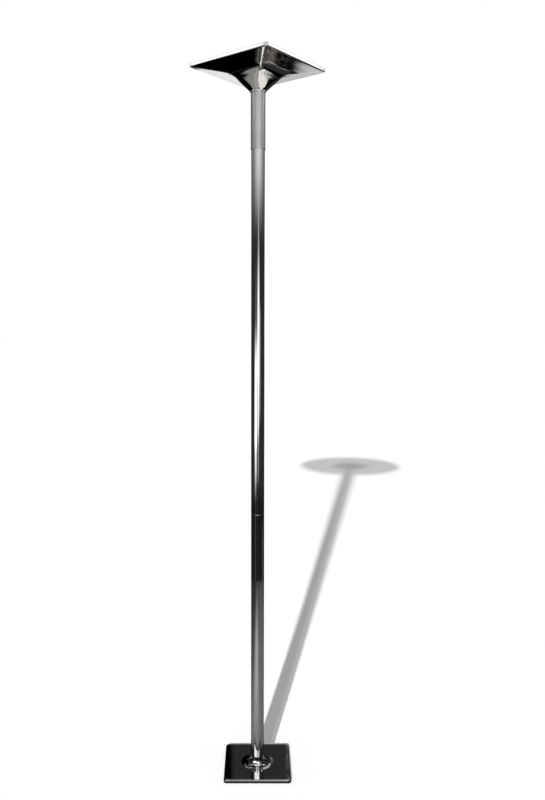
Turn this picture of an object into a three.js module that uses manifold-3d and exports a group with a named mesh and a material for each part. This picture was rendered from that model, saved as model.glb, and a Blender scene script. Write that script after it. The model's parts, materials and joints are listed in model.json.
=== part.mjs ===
// Floor-to-ceiling dance pole with a screw jack in its head.
// Millimetres, +Z up. The origin is on the floor, on the pole's axis, and -Y is the front.
// The pole stands on a thrust bearing in a square base. Turning it works the jack: its nut is
// in the pole's upper end and its spindle hangs from the ceiling plate, which rises or sinks.

import * as THREE from 'three';
import { mergeVertices } from 'three/addons/utils/BufferGeometryUtils.js';
import Module from 'manifold-3d';

const wasm = await Module();
wasm.setup();

// Clearances

const fitGap = 0.3; // round fixed pieces that sit in one another
const runningGap = 0.3; // between pieces that turn or slide past each other
const mouthGap = 0.6; // between the trumpet's mouth and the turning pole
const cutOverrun = 2; // how far a cutting solid runs past the face that it opens

// Whole object

const ceilingHeight = 2387; // floor to ceiling, with the jack as photographed
const headTurn = THREE.MathUtils.degToRad(-38.5); // the ceiling plate's turn against the base
const jackRise = 60; // how far the head can still rise
const jackDrop = 40; // how far the head can sink
const stopMargin = 2; // left between the jack's stops at the ends of that travel

// Pole

const poleDiameter = 45;
const poleWall = 1.5;
const jointHeight = 906; // where the two pole sections meet, above the floor
const tubeEndChamfer = 0.6;

// Coupler between the pole sections

const couplerLength = 240;
const couplerWall = 4;
const couplerScrewNear = 35; // from the joint to the nearer screws
const couplerScrewInset = 35; // from the coupler's ends to the farther screws
const couplerScrewAngle = Math.PI / 2; // on the rear of the pole

// Grub screws that lock pieces into tubes

const grubRadius = 3;
const grubLength = 5.2;
const grubSink = 0.2; // how far a grub screw lies below the tube's surface

// Base

const baseSide = 230;
const baseCorner = 11;
const baseCoverTop = 13; // height of the cover's flat top above the floor
const baseCoverWall = 1.5;
const baseSkirtLift = 1; // the skirt's edge above the floor
const baseRoll = 5; // radius of the rolled edge between skirt and top
const trumpetFootRadius = 57;
const trumpetRise = 28; // from the cover's flat top to the trumpet's mouth
const padThickness = 3;
const padInset = 4; // from the cover's inside to the pad's edge
const basePlateThickness = 4;
const basePlateInset = 1; // from the cover's inside to the plate's edge
const baseCoverScrewInset = 24; // from the base's side to a cover screw
const bossRadius = 4.5; // the bosses inside both covers

// Base hub and its keeper

const hubFlangeRadius = 30;
const hubFlangeThickness = 6;
const hubPostRadius = 9;
const hubPostTop = 56; // above the floor
const hubScrewCircle = 22.5;
const keeperWasherRadius = 14;
const keeperWasherThickness = 2.5;
const keeperScrewRadius = 4;
const keeperScrewLength = 18;
const keeperHeadRadius = 6.5;
const keeperHeadHeight = 5;

// Thrust bearing

const ballCount = 8;
const ballRadius = 3;
const ballCircle = 15;
const raceThickness = 3;
const raceInnerRadius = 9.6;
const raceOuterRadius = 20;
const raceGrooveDepth = 1;
const cageThickness = 2.4;
const cageMargin = 0.6; // the cage's edge inside the races' edges

// Pole foot

const footFlangeThickness = 4;
const footSpigotLength = 36;
const footWellRadius = 15; // the well round the keeper

// Countersunk screws

const hubScrewRadius = 2.5;
const hubScrewHeadRadius = 5;
const hubScrewLength = 9;
const coverScrewRadius = 2;
const coverScrewHeadRadius = 4;
const coverScrewLength = 7.2;

// Jack nut, in the pole's upper end

const jackNutFlange = 4;
const jackNutBody = 45;
const jackNutScrewDrop = 14; // from the tube's end to the nut's grub screws

// Jack spindle and its stops

const spindleRadius = 10; // over the thread
const spindleChamfer = 1.5;
const spindleTopSink = 1; // the spindle's end below the ceiling plate
const lockNutAcrossFlats = 30;
const lockNutHeight = 12;
const stopRadius = 16;
const stopHeight = 10;
const stopPinRadius = 2.5;
const spindleTail = 3; // the spindle below its stop collar

// Ceiling sleeve

const sleeveDiameter = 48;
const sleeveOverlap = 168; // how far the sleeve comes down over the pole
const sleeveScrewDrop = 6.5; // from the hub's flange to the sleeve's screws
const sleeveScrewCount = 3;
const sleeveScrewLength = 9;

// Ceiling plate, hub and cover

const ceilingSide = 317;
const ceilingCorner = 8;
const ceilingBand = 10; // height of the cover's upright rim
const ceilingRimSink = 1; // the rim below the ceiling
const ceilingCoverWall = 1.5;
const coverDepth = 73; // from the rim's lower edge to the neck's end
const neckCollar = 3.5; // the straight collar at the neck's end
const ceilingPlateThickness = 3;
const ceilingPlateInset = 0.5; // from the cover's inside to the plate's edge
const ceilingHubFlangeRadius = 38;
const ceilingHubFlangeThickness = 8;
const ceilingHubBossLength = 30;
const ceilingHubScrewCircle = 31;
const ceilingCoverScrewInset = 27; // from the plate's side to a cover screw
const spindlePinRadius = 3;
const spindlePinDrop = 15; // from the hub's flange to the cross pin

// How finely round shapes are cut

const tubeSides = 48;
const turnedSides = 32;
const screwSides = 12;
const hexagonSides = 6;
const ballSides = 10;
const ballRings = 6;
const cornerSteps = 8; // steps round each corner of a square with round corners
const grooveSteps = 4;
const rollSteps = 3;

// Outlines of the two covers, as shares
// Ceiling cover: how far out between neck and rim, how far down, and how round the corners are
const coverOutlineShares = [
  [0.674, 0.094, 0.06],
  [0.435, 0.173, 0.09],
  [0.327, 0.237, 0.2],
  [0.27, 0.338, 0.38],
  [0.209, 0.54, 0.64],
  [0.134, 0.741, 0.88],
  [0.064, 0.89, 1],
  [0.021, 0.965, 1],
];
// Trumpet: how far out between mouth and foot, and how far up
const trumpetOutlineShares = [
  [0.62, 0.05],
  [0.37, 0.2],
  [0.2, 0.43],
  [0.09, 0.68],
  [0.03, 0.88],
];

// Sizes that follow from those above

const poleRadius = poleDiameter / 2;
const poleBoreRadius = poleRadius - poleWall;
const plugRadius = poleBoreRadius - fitGap;
const sleeveRadius = sleeveDiameter / 2;
const sleeveBoreRadius = poleRadius + runningGap;
const spindleBoreRadius = spindleRadius + fitGap;

const basePlateTop = padThickness + basePlateThickness;
const hubFlangeTop = basePlateTop + hubFlangeThickness;
const lowerRaceTop = hubFlangeTop + raceThickness;
const ballHeight = lowerRaceTop - raceGrooveDepth + runningGap + ballRadius;
const upperRaceBottom = 2 * ballHeight - lowerRaceTop;
const footBottom = upperRaceBottom + raceThickness;
const lowerTubeBottom = footBottom + footFlangeThickness;
const trumpetMouthRadius = poleRadius + mouthGap + baseCoverWall;

const ceilingPlateTop = ceilingHeight - padThickness;
const ceilingPlateBottom = ceilingPlateTop - ceilingPlateThickness;
const sleeveTop = ceilingPlateBottom - ceilingHubFlangeThickness;
const ceilingHubBottom = sleeveTop - ceilingHubBossLength;
const lockNutBottom = ceilingHubBottom - lockNutHeight;
const upperTubeTop = lockNutBottom - jackDrop - stopMargin - jackNutFlange;
const sleeveBottom = upperTubeTop - sleeveOverlap + jackNutFlange;
const stopTop = upperTubeTop - jackNutBody - jackRise - stopMargin;
const spindleBottom = stopTop - stopHeight - spindleTail;
const coverRimTop = ceilingHeight - ceilingRimSink;
const coverRimBottom = coverRimTop - ceilingBand;
const neckRadius = sleeveRadius + fitGap + ceilingCoverWall;

// Materials

function metal(colour, roughness) {
  return new THREE.MeshStandardMaterial({ color: colour, roughness, metalness: 1 });
}

const chrome = metal(0xd9dadc, 0.06);
const satinSteel = metal(0xb4b4b4, 0.35);
const plainSteel = metal(0x8d9094, 0.45);
const bearingSteel = metal(0xc8cacd, 0.15);
const bronze = metal(0xa8803e, 0.35);
const brass = metal(0xb89a55, 0.3);
const blackSteel = metal(0x2a2b2d, 0.5);
const rubber = new THREE.MeshStandardMaterial({ color: 0x1b1b1c, roughness: 0.9, metalness: 0 });

// Shape helpers

// Drops normals and doubled corners, and triangles left without area, and faces the rest out
function closed(geometry) {
  const bare = geometry.index ? geometry.toNonIndexed() : geometry.clone();
  for (const attribute of Object.keys(bare.attributes)) {
    if (attribute !== 'position') bare.deleteAttribute(attribute);
  }
  const merged = mergeVertices(bare);
  const position = merged.getAttribute('position');
  const corners = [0, 0, 0].map(() => new THREE.Vector3());
  const kept = [];
  let volume = 0;
  for (let at = 0; at < merged.index.count; at += 3) {
    const triangle = [0, 1, 2].map((step) => merged.index.getX(at + step));
    if (new Set(triangle).size < 3) continue;
    kept.push(triangle);
    triangle.forEach((vertex, corner) => corners[corner].fromBufferAttribute(position, vertex));
    volume += corners[0].dot(corners[1].cross(corners[2]));
  }
  const facing = volume < 0 ? kept.map(([a, b, c]) => [a, c, b]) : kept;
  merged.setIndex(facing.flat());
  return merged;
}

function solidOf(geometry) {
  const shape = closed(geometry);
  const vertProperties = new Float32Array(shape.getAttribute('position').array);
  const triVerts = new Uint32Array(shape.index.array);
  return new wasm.Manifold(new wasm.Mesh({ numProp: 3, vertProperties, triVerts }));
}

function geometryOf(solid) {
  const mesh = solid.getMesh();
  const geometry = new THREE.BufferGeometry();
  geometry.setAttribute('position', new THREE.BufferAttribute(mesh.vertProperties, 3));
  geometry.setIndex(new THREE.BufferAttribute(mesh.triVerts, 1));
  return geometry;
}

function cut(geometry, cutters) {
  return geometryOf(cutters.reduce((left, cutter) => left.subtract(solidOf(cutter)), solidOf(geometry)));
}

// A turned piece from its outline, [radius, height] points that close on themselves
function turned(outline, sides = turnedSides) {
  const points = outline.map(([radius, height]) => new THREE.Vector2(radius, height));
  points.push(points[0].clone());
  return closed(new THREE.LatheGeometry(points, sides).rotateX(Math.PI / 2));
}

function rod(radius, bottom, top, sides = screwSides) {
  return turned([[0, bottom], [radius, bottom], [radius, top], [0, top]], sides);
}

// A tube with its outer edges chamfered
function tube(outer, inner, bottom, top, chamfer, sides = tubeSides) {
  return turned(
    [
      [inner, bottom],
      [outer - chamfer, bottom],
      [outer, bottom + chamfer],
      [outer, top - chamfer],
      [outer - chamfer, top],
      [inner, top],
    ],
    sides,
  );
}

// A rod that lies along a direction in the level plane, from one radius to another
function radialRod(radius, from, to, height, angle) {
  return rod(radius, from, to).rotateY(Math.PI / 2).rotateZ(angle).translate(0, 0, height);
}

// Points round a square with round corners, each corner swept in the same number of steps
function squareRing(half, corner, height) {
  const ring = [];
  for (let quarter = 0; quarter < 4; quarter += 1) {
    for (let step = 0; step <= cornerSteps; step += 1) {
      const angle = (quarter + step / cornerSteps) * (Math.PI / 2);
      const middle = (quarter + 1 / 2) * (Math.PI / 2);
      const reach = (half - corner) * Math.SQRT2;
      ring.push(
        new THREE.Vector3(
          reach * Math.cos(middle) + corner * Math.cos(angle),
          reach * Math.sin(middle) + corner * Math.sin(angle),
          height,
        ),
      );
    }
  }
  return ring;
}

// A closed solid through a stack of such rings, capped at both ends
function lofted(rings) {
  const corners = [];
  const triangle = (a, b, c) => corners.push(a, b, c);
  for (let level = 0; level + 1 < rings.length; level += 1) {
    const [low, high] = [rings[level], rings[level + 1]];
    low.forEach((point, at) => {
      const next = (at + 1) % low.length;
      triangle(point, low[next], high[next]);
      triangle(point, high[next], high[at]);
    });
  }
  for (const [ring, turn] of [[rings[0], 1], [rings.at(-1), 0]]) {
    const centre = new THREE.Vector3(0, 0, ring[0].z);
    ring.forEach((point, at) => {
      const next = ring[(at + 1) % ring.length];
      triangle(centre, turn ? next : point, turn ? point : next);
    });
  }
  return closed(new THREE.BufferGeometry().setFromPoints(corners));
}

function squarePlate(half, corner, bottom, top) {
  const shape = new THREE.Shape();
  const ring = squareRing(half, corner, bottom);
  shape.setFromPoints(ring.map(({ x, y }) => new THREE.Vector2(x, y)));
  const plate = new THREE.ExtrudeGeometry(shape, { depth: top - bottom, bevelEnabled: false });
  return closed(plate.translate(0, 0, bottom));
}

// Places round the axis or in the corners of a square

function cornerPlaces(offset) {
  return [[1, 1], [-1, 1], [-1, -1], [1, -1]].map(([x, y]) => [x * offset, y * offset]);
}

// A countersunk screw with its head's face at height zero, pointing up
function countersunkScrew(radius, headRadius, length) {
  const headDepth = headRadius - radius;
  return turned([[0, 0], [headRadius, 0], [radius, headDepth], [radius, length], [0, length]], screwSides);
}

// The hole for such a screw, open through the face that the head lies in
function countersunkHole(radius, headRadius, length) {
  const headDepth = headRadius - radius;
  return turned(
    [
      [0, -cutOverrun],
      [headRadius + fitGap, -cutOverrun],
      [headRadius + fitGap, 0],
      [radius + fitGap, headDepth],
      [radius + fitGap, length + fitGap],
      [0, length + fitGap],
    ],
    screwSides,
  );
}

// The same screw or hole at its places: pointing up from a face, or down from it
function atPlaces(places, face, pointsDown, make) {
  return places.map(([x, y]) => {
    const shape = make();
    if (pointsDown) shape.rotateX(Math.PI);
    return shape.translate(x, y, face);
  });
}

const hubScrew = () => countersunkScrew(hubScrewRadius, hubScrewHeadRadius, hubScrewLength);
const hubScrewHole = () => countersunkHole(hubScrewRadius, hubScrewHeadRadius, hubScrewLength);
const coverScrew = () => countersunkScrew(coverScrewRadius, coverScrewHeadRadius, coverScrewLength);
const coverScrewHole = () => countersunkHole(coverScrewRadius, coverScrewHeadRadius, coverScrewLength);

const baseHubPlaces = cornerPlaces(hubScrewCircle * Math.SQRT1_2);
const baseCoverPlaces = cornerPlaces(baseSide / 2 - baseCoverScrewInset);
const ceilingHubPlaces = cornerPlaces(ceilingHubScrewCircle * Math.SQRT1_2);
const ceilingCoverPlaces = cornerPlaces(ceilingSide / 2 - ceilingCoverScrewInset);

// A pressed cover: its outer form less its inner one, with bosses that stay inside the outer form
function pressedCover(outerRings, innerRings, places, bossBottom, bossTop, holes) {
  const outer = solidOf(lofted(outerRings));
  const inner = solidOf(lofted(innerRings));
  const bosses = places.map(([x, y]) => solidOf(rod(bossRadius, bossBottom, bossTop).translate(x, y, 0)));
  const shell = bosses.reduce((whole, boss) => whole.add(boss.intersect(outer)), outer.subtract(inner));
  return geometryOf(holes.reduce((left, hole) => left.subtract(solidOf(hole)), shell));
}

// The model and its moving groups

const dancePole = new THREE.Group();
const baseGroup = new THREE.Group();
const cageGroup = new THREE.Group();
const poleGroup = new THREE.Group();
const headGroup = new THREE.Group();
headGroup.rotation.z = headTurn;
dancePole.add(baseGroup, cageGroup, poleGroup, headGroup);

function addPiece(group, name, geometry, material) {
  const mesh = new THREE.Mesh(geometry, material.clone());
  mesh.name = name;
  group.add(mesh);
}

function addSet(group, name, geometries, material) {
  geometries.forEach((geometry, at) => addPiece(group, `${name}_${at + 1}`, geometry, material));
}

// Base: pad, plate and cover

function baseCoverForm(inset, skirtBottom) {
  const half = baseSide / 2 - inset;
  const corner = baseCorner - inset;
  const top = baseCoverTop - inset;
  const roll = baseRoll - inset;
  const rings = [squareRing(half, corner, skirtBottom)];
  for (let step = 0; step <= rollSteps; step += 1) {
    const angle = (step / rollSteps) * (Math.PI / 2);
    const drawnIn = roll * (1 - Math.cos(angle));
    rings.push(squareRing(half - drawnIn, corner, top - roll * (1 - Math.sin(angle))));
  }
  const mouth = trumpetMouthRadius - inset;
  const reach = trumpetFootRadius - mouth;
  rings.push(squareRing(trumpetFootRadius, trumpetFootRadius, top));
  for (const [outShare, upShare] of trumpetOutlineShares) {
    const radius = mouth + outShare * reach;
    rings.push(squareRing(radius, radius, top + upShare * trumpetRise));
  }
  const mouthHeight = baseCoverTop + trumpetRise + (inset > 0 ? cutOverrun : 0);
  rings.push(squareRing(mouth, mouth, mouthHeight));
  return rings;
}

const baseInside = baseSide / 2 - baseCoverWall;
const basePadHalf = baseInside - padInset;
const basePlateHalf = baseInside - basePlateInset;
const baseInnerCorner = baseCorner - baseCoverWall;

addPiece(baseGroup, 'base_pad', squarePlate(basePadHalf, baseInnerCorner, 0, padThickness), rubber);

const basePlate = cut(squarePlate(basePlateHalf, baseInnerCorner, padThickness, basePlateTop), [
  ...atPlaces(baseHubPlaces, padThickness, false, hubScrewHole),
  ...atPlaces(baseCoverPlaces, padThickness, false, coverScrewHole),
]);
addPiece(baseGroup, 'base_plate', basePlate, plainSteel);

const baseCover = pressedCover(
  baseCoverForm(0, baseSkirtLift),
  baseCoverForm(baseCoverWall, baseSkirtLift - cutOverrun),
  baseCoverPlaces,
  basePlateTop,
  baseCoverTop,
  atPlaces(baseCoverPlaces, padThickness, false, coverScrewHole),
);
addPiece(baseGroup, 'base_cover', baseCover, chrome);

// Base: hub, screws and keeper

const keeperHoleBottom = hubPostTop + keeperWasherThickness - keeperScrewLength - fitGap;
const baseHub = cut(
  turned([
    [0, basePlateTop],
    [hubFlangeRadius, basePlateTop],
    [hubFlangeRadius, hubFlangeTop],
    [hubPostRadius, hubFlangeTop],
    [hubPostRadius, hubPostTop],
    [0, hubPostTop],
  ]),
  [
    ...atPlaces(baseHubPlaces, padThickness, false, hubScrewHole),
    rod(keeperScrewRadius + fitGap, keeperHoleBottom, hubPostTop + cutOverrun),
  ],
);
addPiece(baseGroup, 'base_hub', baseHub, plainSteel);
const baseHubScrews = atPlaces(baseHubPlaces, padThickness, false, hubScrew);
const baseCoverScrews = atPlaces(baseCoverPlaces, padThickness, false, coverScrew);
addSet(baseGroup, 'hub_screw', baseHubScrews, blackSteel);
addSet(baseGroup, 'base_cover_screw', baseCoverScrews, blackSteel);

const keeperWasherTop = hubPostTop + keeperWasherThickness;
const keeperWasherBore = keeperScrewRadius + fitGap;
addPiece(
  baseGroup,
  'keeper_washer',
  tube(keeperWasherRadius, keeperWasherBore, hubPostTop, keeperWasherTop, 0, turnedSides),
  plainSteel,
);
const keeperScrew = turned(
  [
    [0, keeperWasherTop - keeperScrewLength],
    [keeperScrewRadius, keeperWasherTop - keeperScrewLength],
    [keeperScrewRadius, keeperWasherTop],
    [keeperHeadRadius, keeperWasherTop],
    [keeperHeadRadius, keeperWasherTop + keeperHeadHeight],
    [0, keeperWasherTop + keeperHeadHeight],
  ],
  screwSides,
);
addPiece(baseGroup, 'keeper_screw', keeperScrew, blackSteel);

// Thrust bearing: two races with a groove, and the balls in their cage

function race(back, face) {
  const reach = ballRadius + runningGap;
  const side = Math.sign(ballHeight - face);
  const openAngle = Math.acos((reach - raceGrooveDepth) / reach);
  const outline = [[raceInnerRadius, back], [raceInnerRadius, face]];
  for (let step = 0; step <= grooveSteps; step += 1) {
    const angle = openAngle * ((2 * step) / grooveSteps - 1);
    outline.push([ballCircle + reach * Math.sin(angle), ballHeight - side * reach * Math.cos(angle)]);
  }
  outline.push([raceOuterRadius, face], [raceOuterRadius, back]);
  return turned(outline);
}

addPiece(baseGroup, 'bearing_lower_race', race(hubFlangeTop, lowerRaceTop), bearingSteel);
addPiece(poleGroup, 'bearing_upper_race', race(footBottom, upperRaceBottom), bearingSteel);

const ballPlaces = Array.from({ length: ballCount }, (_, at) => {
  const angle = (at / ballCount) * 2 * Math.PI;
  return [ballCircle * Math.cos(angle), ballCircle * Math.sin(angle)];
});
const cageBottom = ballHeight - cageThickness / 2;
const cageTop = ballHeight + cageThickness / 2;
const cage = cut(
  tube(raceOuterRadius - cageMargin, raceInnerRadius + cageMargin, cageBottom, cageTop, 0, turnedSides),
  ballPlaces.map(([x, y]) =>
    rod(ballRadius + runningGap, cageBottom - cutOverrun, cageTop + cutOverrun).translate(x, y, 0),
  ),
);
addPiece(cageGroup, 'bearing_cage', cage, brass);
const balls = ballPlaces.map(([x, y]) => {
  const ball = new THREE.SphereGeometry(ballRadius, ballSides, ballRings);
  return closed(ball.rotateX(Math.PI / 2).translate(x, y, ballHeight));
});
addSet(cageGroup, 'bearing_ball', balls, bearingSteel);

// Pole: foot and lower section

const footTop = lowerTubeBottom + footSpigotLength;
const footWellBottom = hubPostTop - runningGap;
const footBore = hubPostRadius + runningGap;
const poleFoot = turned([
  [footBore, footBottom],
  [poleRadius, footBottom],
  [poleRadius, lowerTubeBottom],
  [plugRadius, lowerTubeBottom],
  [plugRadius, footTop],
  [footWellRadius, footTop],
  [footWellRadius, footWellBottom],
  [footBore, footWellBottom],
]);
addPiece(poleGroup, 'pole_foot', poleFoot, plainSteel);

// Pole: coupler and its grub screws, alike above and below the joint

const grubOuter = poleRadius - grubSink;
const grubInner = grubOuter - grubLength;
const couplerScrewFar = couplerLength / 2 - couplerScrewInset;
const couplerScrewHeights = [-couplerScrewFar, -couplerScrewNear, couplerScrewNear, couplerScrewFar].map(
  (offset) => jointHeight + offset,
);

function grubHole(height, angle) {
  return radialRod(grubRadius + fitGap, grubInner - fitGap, poleRadius + cutOverrun, height, angle);
}

const couplerHoles = couplerScrewHeights.map((height) => grubHole(height, couplerScrewAngle));
const lowerTube = tube(poleRadius, poleBoreRadius, lowerTubeBottom, jointHeight, tubeEndChamfer);
addPiece(poleGroup, 'lower_tube', cut(lowerTube, couplerHoles), chrome);

const couplerBottom = jointHeight - couplerLength / 2;
const couplerTop = jointHeight + couplerLength / 2;
const coupler = tube(plugRadius, plugRadius - couplerWall, couplerBottom, couplerTop, tubeEndChamfer);
addPiece(poleGroup, 'pole_coupler', cut(coupler, couplerHoles), plainSteel);
const couplerScrews = couplerScrewHeights.map((height) =>
  radialRod(grubRadius, grubInner, grubOuter, height, couplerScrewAngle),
);
addSet(poleGroup, 'coupler_screw', couplerScrews, blackSteel);

// Pole: upper section with the jack nut in its end

const jackNutScrewHeight = upperTubeTop - jackNutScrewDrop;
const jackNutScrewAngles = [0, Math.PI];
const jackNutHoles = jackNutScrewAngles.map((angle) => grubHole(jackNutScrewHeight, angle));
const upperTube = tube(poleRadius, poleBoreRadius, jointHeight, upperTubeTop, tubeEndChamfer);
addPiece(poleGroup, 'upper_tube', cut(upperTube, [...couplerHoles, ...jackNutHoles]), chrome);

const jackNut = turned([
  [spindleBoreRadius, upperTubeTop - jackNutBody],
  [plugRadius, upperTubeTop - jackNutBody],
  [plugRadius, upperTubeTop],
  [poleRadius, upperTubeTop],
  [poleRadius, upperTubeTop + jackNutFlange],
  [spindleBoreRadius, upperTubeTop + jackNutFlange],
]);
addPiece(poleGroup, 'jack_nut', cut(jackNut, jackNutHoles), bronze);
const jackNutScrews = jackNutScrewAngles.map((angle) =>
  radialRod(grubRadius, grubInner, grubOuter, jackNutScrewHeight, angle),
);
addSet(poleGroup, 'jack_nut_screw', jackNutScrews, blackSteel);

// Head: pad and plate

const ceilingInside = ceilingSide / 2 - ceilingCoverWall;
const ceilingPlateHalf = ceilingInside - ceilingPlateInset;
const ceilingInnerCorner = ceilingCorner - ceilingCoverWall;

function ceilingSheet(bottom, top) {
  return squarePlate(ceilingPlateHalf, ceilingInnerCorner, bottom, top);
}

addPiece(headGroup, 'ceiling_pad', ceilingSheet(ceilingPlateTop, ceilingHeight), rubber);
const ceilingPlate = cut(ceilingSheet(ceilingPlateBottom, ceilingPlateTop), [
  ...atPlaces(ceilingHubPlaces, ceilingPlateTop, true, hubScrewHole),
  ...atPlaces(ceilingCoverPlaces, ceilingPlateTop, true, coverScrewHole),
]);
addPiece(headGroup, 'ceiling_plate', ceilingPlate, plainSteel);

// Head: cover, square at the rim and round at the neck

function ceilingCoverForm(inset, rimTop, neckBottom) {
  const half = ceilingSide / 2 - inset;
  const corner = ceilingCorner - inset;
  const neck = neckRadius - inset;
  const collarTop = coverRimBottom - coverDepth + neckCollar;
  const drop = coverRimBottom - collarTop;
  const rings = [squareRing(neck, neck, neckBottom), squareRing(neck, neck, collarTop + inset)];
  for (const [outShare, downShare, roundShare] of [...coverOutlineShares].reverse()) {
    const reach = neck + outShare * (half - neck);
    rings.push(squareRing(reach, roundShare * reach, coverRimBottom + inset - downShare * drop));
  }
  rings.push(squareRing(half, corner, coverRimBottom + inset), squareRing(half, corner, rimTop));
  return rings;
}

const neckBottom = coverRimBottom - coverDepth;
const ceilingCover = pressedCover(
  ceilingCoverForm(0, coverRimTop, neckBottom),
  ceilingCoverForm(ceilingCoverWall, coverRimTop + cutOverrun, neckBottom - cutOverrun),
  ceilingCoverPlaces,
  neckBottom,
  ceilingPlateBottom,
  atPlaces(ceilingCoverPlaces, ceilingPlateTop, true, coverScrewHole),
);
addPiece(headGroup, 'ceiling_cover', ceilingCover, chrome);

// Head: hub, sleeve and their screws

const spindlePinHeight = sleeveTop - spindlePinDrop;
const hubBossRadius = sleeveBoreRadius - fitGap;
const spindlePinHole = radialRod(
  spindlePinRadius + fitGap,
  -hubBossRadius - cutOverrun,
  hubBossRadius + cutOverrun,
  spindlePinHeight,
  0,
);
const sleeveScrewHeight = sleeveTop - sleeveScrewDrop;
const sleeveScrewAngles = Array.from(
  { length: sleeveScrewCount },
  (_, at) => Math.PI / 2 + (at / sleeveScrewCount) * 2 * Math.PI,
);
const sleeveScrewInner = sleeveRadius - sleeveScrewLength;
const sleeveScrewHoles = sleeveScrewAngles.map((angle) =>
  radialRod(
    grubRadius + fitGap,
    sleeveScrewInner - fitGap,
    sleeveRadius + cutOverrun,
    sleeveScrewHeight,
    angle,
  ),
);
const ceilingHub = cut(
  turned([
    [spindleBoreRadius, ceilingHubBottom],
    [hubBossRadius, ceilingHubBottom],
    [hubBossRadius, sleeveTop],
    [ceilingHubFlangeRadius, sleeveTop],
    [ceilingHubFlangeRadius, ceilingPlateBottom],
    [spindleBoreRadius, ceilingPlateBottom],
  ]),
  [
    ...atPlaces(ceilingHubPlaces, ceilingPlateTop, true, hubScrewHole),
    spindlePinHole,
    ...sleeveScrewHoles,
  ],
);
addPiece(headGroup, 'ceiling_hub', ceilingHub, plainSteel);
const ceilingHubScrews = atPlaces(ceilingHubPlaces, ceilingPlateTop, true, hubScrew);
const ceilingCoverScrews = atPlaces(ceilingCoverPlaces, ceilingPlateTop, true, coverScrew);
addSet(headGroup, 'ceiling_hub_screw', ceilingHubScrews, blackSteel);
addSet(headGroup, 'ceiling_cover_screw', ceilingCoverScrews, blackSteel);

const sleeve = tube(sleeveRadius, sleeveBoreRadius, sleeveBottom, sleeveTop, tubeEndChamfer);
addPiece(headGroup, 'ceiling_sleeve', cut(sleeve, sleeveScrewHoles), satinSteel);
const sleeveScrews = sleeveScrewAngles.map((angle) =>
  radialRod(grubRadius, sleeveScrewInner, sleeveRadius, sleeveScrewHeight, angle),
);
addSet(headGroup, 'sleeve_screw', sleeveScrews, blackSteel);

// Head: jack spindle, lock nut and stop collar

const spindleTop = ceilingPlateBottom - spindleTopSink;
const spindleCore = spindleRadius - spindleChamfer;
const stopBottom = stopTop - stopHeight;
const stopPinHeight = stopTop - stopHeight / 2;
const stopPinHole = radialRod(
  stopPinRadius + fitGap,
  -stopRadius - cutOverrun,
  stopRadius + cutOverrun,
  stopPinHeight,
  0,
);
const spindle = turned(
  [
    [0, spindleBottom],
    [spindleCore, spindleBottom],
    [spindleRadius, spindleBottom + spindleChamfer],
    [spindleRadius, spindleTop - spindleChamfer],
    [spindleCore, spindleTop],
    [0, spindleTop],
  ],
  turnedSides,
);
addPiece(headGroup, 'jack_spindle', cut(spindle, [spindlePinHole, stopPinHole]), plainSteel);
addPiece(
  headGroup,
  'spindle_pin',
  radialRod(spindlePinRadius, -hubBossRadius, hubBossRadius, spindlePinHeight, 0),
  bearingSteel,
);

const lockNutRadius = lockNutAcrossFlats / Math.sqrt(3);
const lockNut = cut(rod(lockNutRadius, lockNutBottom, ceilingHubBottom, hexagonSides), [
  rod(spindleBoreRadius, lockNutBottom - cutOverrun, ceilingHubBottom + cutOverrun, turnedSides),
]);
addPiece(headGroup, 'spindle_lock_nut', lockNut, plainSteel);

const stopCollar = tube(stopRadius, spindleBoreRadius, stopBottom, stopTop, tubeEndChamfer, turnedSides);
addPiece(headGroup, 'spindle_stop', cut(stopCollar, [stopPinHole]), plainSteel);
addPiece(
  headGroup,
  'stop_pin',
  radialRod(stopPinRadius, -stopRadius + tubeEndChamfer, stopRadius - tubeEndChamfer, stopPinHeight, 0),
  bearingSteel,
);

export default dancePole;
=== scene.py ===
"""The looks of a floor-to-ceiling dance pole, built round its packed construction.

Metres, +Z up. The origin is on the floor, on the pole's axis, and -Y is the front.
"""

import json
import math

import bmesh
import bpy
from mathutils import Matrix, Vector


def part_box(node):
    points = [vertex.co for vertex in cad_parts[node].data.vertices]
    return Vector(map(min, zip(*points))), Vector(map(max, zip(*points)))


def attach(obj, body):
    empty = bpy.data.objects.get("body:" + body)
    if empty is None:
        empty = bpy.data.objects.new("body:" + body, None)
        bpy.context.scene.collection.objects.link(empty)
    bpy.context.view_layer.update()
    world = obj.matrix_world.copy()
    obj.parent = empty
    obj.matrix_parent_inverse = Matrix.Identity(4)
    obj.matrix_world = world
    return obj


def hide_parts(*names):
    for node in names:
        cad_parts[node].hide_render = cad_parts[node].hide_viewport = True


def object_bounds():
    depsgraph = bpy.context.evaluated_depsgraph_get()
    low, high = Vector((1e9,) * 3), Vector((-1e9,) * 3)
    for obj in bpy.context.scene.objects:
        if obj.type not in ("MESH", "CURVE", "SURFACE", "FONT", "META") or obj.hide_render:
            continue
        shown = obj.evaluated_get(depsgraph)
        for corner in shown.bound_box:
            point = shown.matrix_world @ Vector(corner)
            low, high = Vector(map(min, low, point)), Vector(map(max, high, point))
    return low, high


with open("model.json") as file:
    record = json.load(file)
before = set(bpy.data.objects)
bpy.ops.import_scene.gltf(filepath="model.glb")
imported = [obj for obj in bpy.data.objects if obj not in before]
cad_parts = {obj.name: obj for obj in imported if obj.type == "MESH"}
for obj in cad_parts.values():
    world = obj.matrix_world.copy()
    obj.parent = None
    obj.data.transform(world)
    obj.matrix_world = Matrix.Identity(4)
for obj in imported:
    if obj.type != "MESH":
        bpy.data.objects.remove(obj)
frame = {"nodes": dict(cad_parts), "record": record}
cad_low, cad_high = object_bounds()

MM = 0.001

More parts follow.
